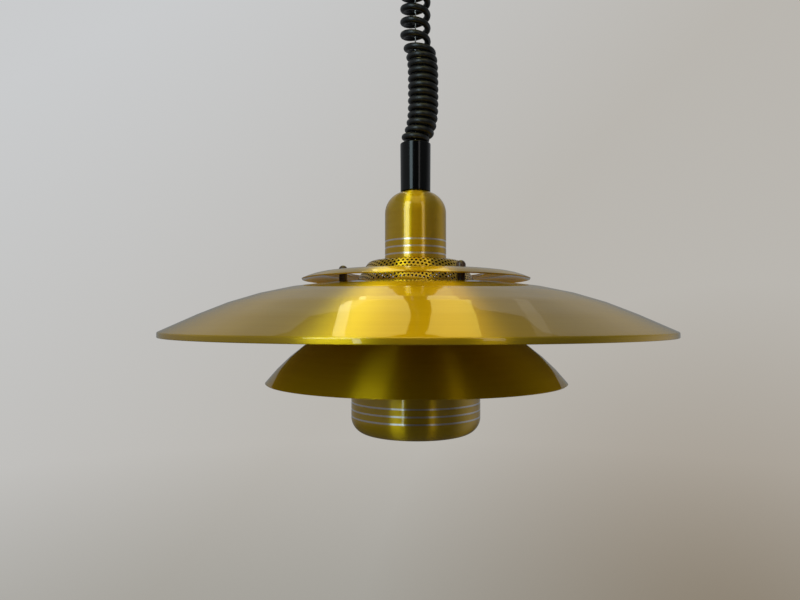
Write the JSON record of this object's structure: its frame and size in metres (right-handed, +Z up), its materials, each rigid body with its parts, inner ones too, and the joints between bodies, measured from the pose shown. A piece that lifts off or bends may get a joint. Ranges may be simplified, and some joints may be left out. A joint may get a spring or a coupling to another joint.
{
  "type": "rise and fall pendant",
  "caption": "Ceiling pendant with a spring reel, a curly cord and spun gold shades in tiers; the lamp pulls down and pushes up.",
  "frame": {"origin": "on the ceiling face of the bracket, on the line of the suspension wire", "axes": "+Z up through the ceiling, +X to the right and +Y away from the viewer of the front"},
  "size_m": [0.48, 0.48, 0.5725],
  "materials": {
    "spun_gold": "satin gold anodised, lathe brushed",
    "black_plastic": "glossy black moulding",
    "cord_black": "satin black cord sheath",
    "brown_plastic": "dark brown moulding",
    "holder_plastic": "black thermoset",
    "nylon": "natural nylon",
    "steel": "zinc plated",
    "wire_steel": "fine stranded steel",
    "spring_steel": "blued spring strip",
    "brass": "bright brass",
    "ceramic": "glazed white ceramic",
    "friction_pad": "pressed fibre",
    "core_sleeve": "brown core insulation"
  },
  "bodies": {
    "canopy": {"ceiling_bracket": "steel", "canopy_screws": "steel", "canopy_cover": "black_plastic", "reel_frame": "steel", "frame_screws": "steel", "reel_axle": "steel", "axle_rings": "steel", "brake_pad": "friction_pad", "terminal_block": "nylon", "terminal_screws": "brass", "guide_bush": "nylon", "upper_cord_grip": "cord_black", "supply_lead": "cord_black", "curly_cord": "cord_black", "suspension_wire": "wire_steel"},
    "drum": {"reel_drum": "nylon", "drum_cover": "nylon", "drum_screws": "steel", "mainspring": "spring_steel", "wire_winding": "wire_steel"},
    "tension": {"tension_screw": "steel"},
    "lamp": {"cap": "spun_gold", "vent_cage": "spun_gold", "main_shade": "spun_gold", "top_ring": "spun_gold", "lower_shade": "spun_gold", "cup": "spun_gold", "grip_tube": "black_plastic", "lower_cord_grip": "black_plastic", "ring_spacers": "brown_plastic", "shade_spacers": "brown_plastic", "knobs": "brown_plastic", "holder_dome": "holder_plastic", "holder_skirt": "holder_plastic", "shade_ring": "holder_plastic", "wire_stirrup": "steel", "wire_ferrule": "steel", "threaded_nipple": "steel", "nipple_nuts": "steel", "studs": "steel", "stud_nuts": "steel", "cup_straps": "steel", "cup_rivets": "steel", "screw_shell": "brass", "centre_contact": "brass", "holder_screws": "brass", "contact_base": "ceramic", "inner_leads": "core_sleeve"}
  },
  "joints": [
    {"name": "rise_fall", "type": "slide", "parent": "canopy", "child": "lamp", "axis": [0, 0, 1], "range_m": [-0.7, 0.015], "deforming": ["curly_cord", "suspension_wire"]},
    {"name": "drum_turn", "type": "hinge", "parent": "canopy", "child": "drum", "pos_m": [0, 0.022, -0.048], "axis": [1, 0, 0], "range_deg": [-45, 1830]},
    {"name": "tension_turn", "type": "hinge", "parent": "canopy", "child": "tension", "pos_m": [0, 0.022, -0.085], "axis": [0, 0, 1], "range_deg": [-180, 180]}
  ],
  "couplings": [
    {"joint": "drum_turn", "follows": "rise_fall", "rad_per_m": -45.455}
  ]
}
